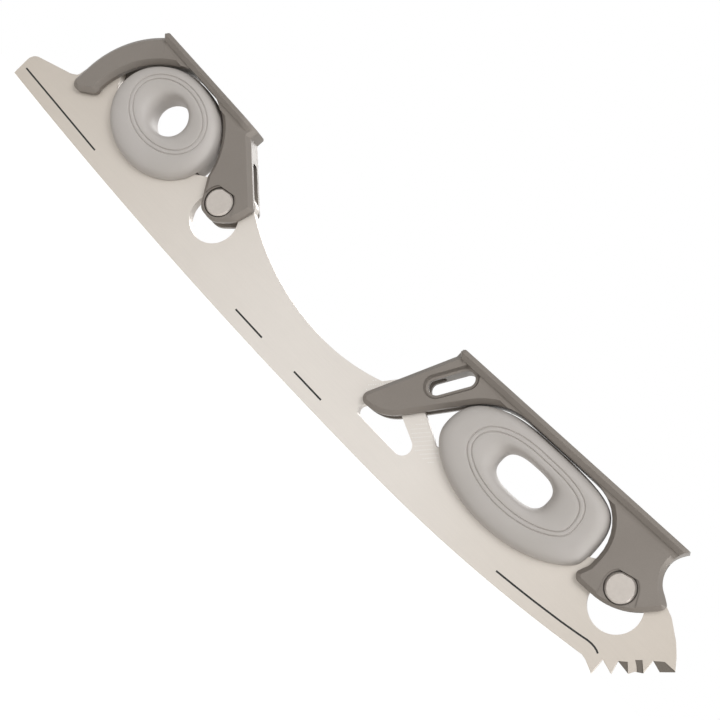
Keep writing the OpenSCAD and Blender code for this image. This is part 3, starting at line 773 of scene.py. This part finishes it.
picks = [(132.15, 8.2, 0), (136.45, 6.4, 0), (135.85, 12, 0), (140.65, 10.7, 0), (139.35, 15, 0),
         (144.15, 14.5, 0), (144.95, 16.3, 0), (147.15, 17.9, 0), (146.55, 22.7, 0), (150.25, 21.7, 0),
         (TOE, 25.05, 0)]
ground_stations = [-TOE + (GROUND_END + TOE) * i / 90 for i in range(91)]
ground = [(x, ground_z(x), 0) for x in ground_stations]
path = anticlockwise(rounded(ground + picks + tops[::-1]))
inner = inset(path, EDGE_BREAK)
sections = ((inner, -RUNNER_HALF), (path, EDGE_BREAK - RUNNER_HALF), (path, RUNNER_HALF - EDGE_BREAK),
            (inner, RUNNER_HALF))
runner = skin("runner", [[(p.x, y, p.y) for p in ring] for ring, y in sections])
triangle = rounded([(23.85, 10.2, 2.2), (60.65, 10.2, 3.3), (29.65, 23.2, 2)], 12)
cut(runner, slab("triangle", same, triangle, -4, 4))
for pivot, offset in ((HEEL_PIVOT, (1.4, -5.2)), (SOLE_PIVOT, (2.5, -4.9))):
    hole = across("hole", same, (pivot[0] + offset[0], pivot[1] + offset[1]), HOLE_R, -4, 4, 96)
    cut(hole, across("boss", same, pivot, BOSS_R, -5, 5, 64))
    cut(runner, hole)
    cut(runner, across("bore", same, pivot, BUSH_R, -4, 4, 64))
stop = heel(HEEL_STOP)
slot_outline = stadium((stop.x, stop.y - STOP_TRAVEL), (stop.x, stop.y), STOP_SLOT_R)
cut(runner, slab("slot", same, slot_outline, -4, 4))


def hollow_section(x):
    """The round hollow ground into the bottom edge, as a cutter's section at one station."""
    z = ground_z(max(-TOE, x))
    corner = math.sqrt(HOLLOW_R ** 2 - HOLLOW_HALF ** 2)
    ring = []
    for k in range(-6, 7):
        y = HOLLOW_HALF * k / 6
        ring.append((x, y, z + math.sqrt(HOLLOW_R ** 2 - y ** 2) - corner))
    return ring + [(x, HOLLOW_HALF, z - 1), (x, -HOLLOW_HALF, z - 1)]


hollow_stations = [-TOE - 1 + (GROUND_END + TOE + 1) * i / 60 for i in range(61)]
cut(runner, skin("hollow", [hollow_section(x) for x in hollow_stations]))


def combine_facet(obj, cutter):
    """Cuts a facet that keeps the cutter's own finish, the steel darkened with painted shade."""
    cutter.data.materials.append(pick_facet_painted_shade)
    mod = obj.modifiers.new("facet", "BOOLEAN")
    mod.operation = "DIFFERENCE"
    mod.solver = "EXACT"
    mod.material_mode = "TRANSFER"
    mod.object = cutter
    apply_all(obj)
    bpy.data.objects.remove(cutter)


def wedge(corners):
    """Cutters that slope into both faces: each corner is (x, z, depth)."""
    cutters = []
    for side in (-1, 1):
        outer = [(x, side * (RUNNER_HALF + 0.6), z) for x, z, depth in corners]
        bottom = [(x, side * (RUNNER_HALF - depth), z) for x, z, depth in corners]
        cutters.append(skin("facet", [outer, bottom]))
    return cutters


runner.data.materials.clear()
runner.data.materials.append(satin_steel)
facets = [[(139.35, 15.05, 0.5), (144.3, 14.2, 0.5), (143.68, 14.9, 0.5), (141.54, 17.0, 0.1)],
          [(142.67, 18.99, 0.1), (144.2, 18.0, 0.3), (145.93, 16.4, 0.5), (147.3, 17.9, 0.5),
           (146.76, 18.3, 0.5), (144.18, 20.59, 0.1)],
          [(146.5, 22.6, 0.2), (150.4, 21.5, 0.5), (153.8, 25.1, 0.5), (153.7, 25.3, 0.5),
           (149.11, 25.02, 0.1)]]
for corners in facets:
    for cutter in wedge(corners):
        combine_facet(runner, cutter)
smooth(runner, 25)
finish_piece(runner, "runner_ground_steel", "blade", None, ("runner",))


def inside(p, outline):
    """Even-odd test of a point against an outline."""
    hit = False
    for a, b in zip(outline, outline[1:] + outline[:1]):
        if (a.y > p.y) != (b.y > p.y) and p.x < a.x + (p.y - a.y) * (b.x - a.x) / (b.y - a.y):
            hit = not hit
    return hit


window_and_rim = inset(anticlockwise(triangle), -0.5)
steel_and_rim = inset(path, 0.5)


def in_steel(p):
    """Whether a dot at a point lies whole on the runner."""
    return inside(p, steel_and_rim) and not inside(p, window_and_rim)


# Engraved lines and etched dots
def ribbon(name, points, width, side):
    """A thin inlaid line that follows points on a face of the runner."""
    left, right = [], []
    for i, p in enumerate(points):
        a = Vector(points[max(0, i - 1)])
        b = Vector(points[min(len(points) - 1, i + 1)])
        d = (b - a).normalized()
        n = Vector((-d.y, d.x)) * width / 2
        left.append(Vector(p) + n)
        right.append(Vector(p) - n)
    ring = left + right[::-1]
    sunk = side * RUNNER_HALF - side * 0.05
    proud = side * RUNNER_HALF + side * 0.015
    return skin(name, [[(p.x, y, p.y) for p in ring] for y in (sunk, proud)])


def join(objects, name):
    """One object from several, whose meshes stay as they are."""
    bm = bmesh.new()
    for obj in objects:
        bm.from_mesh(obj.data)
        bpy.data.objects.remove(obj)
    mesh = bpy.data.meshes.new(name)
    bm.to_mesh(mesh)
    bm.free()
    obj = bpy.data.objects.new(name, mesh)
    bpy.context.scene.collection.objects.link(obj)
    return obj


lines = [[(-151.2, 10.85), (-130, 9.5), (-108.6, 8.1)],
         [(-29.3, 5.15), (-15.5, 4.9)],
         [(0.8, 4.8), (14.3, 4.7)],
         [(94.0, 7.3), (101.6, 8.25), (109.2, 9.3), (119.2, 10.9), (125.5, 12.1), (128.4, 12.75),
          (130.2, 12.95), (131.6, 12.85), (132.7, 12.6), (133.6, 12.2)]]
ribbons = [ribbon("line", points, LINE_WIDTH, side) for points in lines for side in (-1, 1)]
marks = join(ribbons, "engraved_lines")
finish_piece(marks, "engraved_lines", "blade", ink_finish)


def dot_field(name, rows):
    """Geometry Nodes: a small flat disc on each point of the dot rows."""
    cloud = new_object(name, rows, [])
    tree = bpy.data.node_groups.new("etched_dots", "GeometryNodeTree")
    tree.is_modifier = True
    tree.interface.new_socket("Geometry", in_out="INPUT", socket_type="NodeSocketGeometry")
    radius = tree.interface.new_socket("Dot radius", in_out="INPUT", socket_type="NodeSocketFloat")
    tree.interface.new_socket("Geometry", in_out="OUTPUT", socket_type="NodeSocketGeometry")
    source = tree.nodes.new("NodeGroupInput")
    disc = add(tree, "GeometryNodeMeshCylinder", Vertices=10, Radius=source.outputs["Dot radius"],
               Depth=0.00003)
    points = add(tree, "GeometryNodeMeshToPoints", Mesh=source.outputs["Geometry"])
    placed = add(tree, "GeometryNodeInstanceOnPoints", Points=points.outputs["Points"],
                 Instance=disc.outputs["Mesh"], Rotation=(math.pi / 2, 0, 0))
    real = add(tree, "GeometryNodeRealizeInstances", Geometry=placed.outputs["Instances"])
    painted = add(tree, "GeometryNodeSetMaterial", Geometry=real.outputs["Geometry"], Material=etch_finish)
    sink = tree.nodes.new("NodeGroupOutput")
    tree.links.new(painted.outputs["Geometry"], sink.inputs["Geometry"])
    mod = cloud.modifiers.new("dots", "NODES")
    mod.node_group = tree
    mod[radius.identifier] = DOT_R * MM
    apply_all(cloud)
    return cloud


def dot_rows(u_from, u_to, w_from, w_to):
    """Points on both faces, in slanted rows that fill one patch of the sole bracket's frame."""
    along_row = along(ROW_SLANT)
    across_rows = Vector((along_row.y, -along_row.x))
    centre = Vector(((u_from + u_to) / 2, (w_from + w_to) / 2))
    out = []
    for j in range(-8, 9):
        for i in range(-14, 15):
            p = centre + along_row * DOT_PITCH * i + across_rows * ROW_PITCH * j
            if not (u_from < p.x < u_to and w_from < p.y < w_to):
                continue
            q = sole(p)
            if in_steel(q):
                out += [(q.x, side * (RUNNER_HALF + 0.005), q.y) for side in (-1, 1)]
    return out


# One patch on either side of the triangular window
rows = dot_rows(-103, -95.5, -9, -1.5) + dot_rows(-82.5, -69.5, -12.5, -2.5)
dots = dot_field("etched_dots", rows)
finish_piece(dots, "etched_dots", "blade", etch_finish)

# The CAD nodes that stay, with their materials only
for name, material in (("pivot_bush", bronze_finish), ("pin_screw", pin_finish),
                       ("thrust_washers", bearing_finish), ("stop_pin", pin_finish),
                       ("stop_sleeve", sleeve_finish), ("guide_pads", bearing_finish),
                       ("inserts", insert_finish)):
    for side in ("heel", "sole"):
        obj = nodes[side + "_" + name]
        if obj.material_slots:
            for slot in obj.material_slots:
                slot.material = material
        else:
            obj.data.materials.append(material)

# Camera, light and floor. The camera's place and turn were solved from the outline, in metres
CAMERA_AT = (0.15084, -0.47452, 0.02548)
CAMERA_RIGHT = (0.6721, 0.1985, 0.7134)
CAMERA_DOWN = (0.6861, 0.1953, -0.7008)
camera_data = bpy.data.cameras.new("camera")
camera_data.lens = 75
camera_data.sensor_width = 36
camera_data.clip_start = 0.01
camera_data.clip_end = 50
camera = bpy.data.objects.new("camera", camera_data)
right = Vector(CAMERA_RIGHT).normalized()
down = Vector(CAMERA_DOWN)
forward = right.cross(down).normalized()
down = forward.cross(right)
turn = Matrix((right, -down, -forward)).transposed().to_4x4()
camera.matrix_world = Matrix.Translation(CAMERA_AT) @ turn
bpy.context.scene.collection.objects.link(camera)
bpy.context.scene.camera = camera


def lamp(name, place, aim, size, power):
    """A round area lamp that looks at a point."""
    data = bpy.data.lights.new(name, "AREA")
    data.shape = "DISK"
    data.size = size
    data.energy = power
    obj = bpy.data.objects.new(name, data)
    obj.location = place
    obj.rotation_euler = (Vector(aim) - Vector(place)).to_track_quat("-Z", "Y").to_euler()
    bpy.context.scene.collection.objects.link(obj)
    return obj


LAMP_AIM = (0, 0, 0.02)
lamp("key", (0.45, -1.3, 0.95), LAMP_AIM, 0.9, 11.5)
lamp("side", (1.7, -0.1, 0.1), LAMP_AIM, 0.7, 7.0)
lamp("back", (-0.3, 1.2, 0.8), LAMP_AIM, 0.8, 8.0)


def rising(tree, value, start, end):
    """Zero at start, one at end, smooth between."""
    return add(tree, "ShaderNodeMapRange", {"interpolation_type": "SMOOTHSTEP"}, Value=value, From_Min=start,
               From_Max=end).outputs["Result"]


def maths(tree, operation, first, second):
    return add(tree, "ShaderNodeMath", {"operation": operation}, i0=first, i1=second).outputs["Value"]


def seen_as_background(tree):
    """One for rays that show the background: from the camera, off metal and through glass."""
    rays = add(tree, "ShaderNodeLightPath")
    mirrored = maths(tree, "MAXIMUM", rays.outputs["Is Glossy Ray"], rays.outputs["Is Transmission Ray"])
    return maths(tree, "MAXIMUM", rays.outputs["Is Camera Ray"], mirrored)


def studio(name):
    """Lights dull surfaces softly from above, from in front and from the toe's side. The camera, metal and
    glass see plain white instead."""
    world = bpy.data.worlds.new(name)
    world.use_nodes = True
    tree = world.node_tree
    background = tree.nodes["Background"]
    direction = add(tree, "ShaderNodeTexCoord").outputs["Generated"]
    split = add(tree, "ShaderNodeSeparateXYZ", Vector=direction)
    level = rising(tree, split.outputs["Z"], -0.15, 0.3)
    overhead = maths(tree, "MULTIPLY", rising(tree, split.outputs["Z"], -0.1, 0.6), 0.27)
    front = maths(tree, "MULTIPLY", rising(tree, split.outputs["Y"], -0.1, -0.9), level)
    toeward = maths(tree, "MULTIPLY", rising(tree, split.outputs["X"], 0.2, 0.9), level)
    above_and_front = maths(tree, "ADD", overhead, maths(tree, "MULTIPLY", front, 0.4))
    toeward_and_rest = maths(tree, "ADD", maths(tree, "MULTIPLY", toeward, 0.5), 0.02)
    light = maths(tree, "ADD", above_and_front, toeward_and_rest)
    shown = add(tree, "ShaderNodeMixRGB", Fac=seen_as_background(tree), Color1=light,
                Color2=(1, 1, 1, 1)).outputs["Color"]
    tree.links.new(shown, background.inputs["Color"])
    background.inputs["Strength"].default_value = 1.0
    return world


bpy.context.scene.world = studio("studio")

FLOOR_HALF = 6000
FLOOR_Z = -220
floor_corners = [(-FLOOR_HALF, -FLOOR_HALF, FLOOR_Z), (FLOOR_HALF, -FLOOR_HALF, FLOOR_Z),
                 (FLOOR_HALF, FLOOR_HALF, FLOOR_Z), (-FLOOR_HALF, FLOOR_HALF, FLOOR_Z)]
floor = new_object("floor", floor_corners, [(0, 1, 2, 3)])
material, tree, shader, place = start_material("pale_paper_floor")
glow = maths(tree, "MULTIPLY", seen_as_background(tree), 0.8)
tree.links.new(glow, shader.inputs["Emission Strength"])
shader.inputs["Emission Color"].default_value = (1, 1, 1, 1)
shader.inputs["Base Color"].default_value = colour("#CFCCC8")
shader.inputs["Roughness"].default_value = 0.9
floor.data.materials.append(material)

bpy.context.scene.view_settings.view_transform = "Standard"
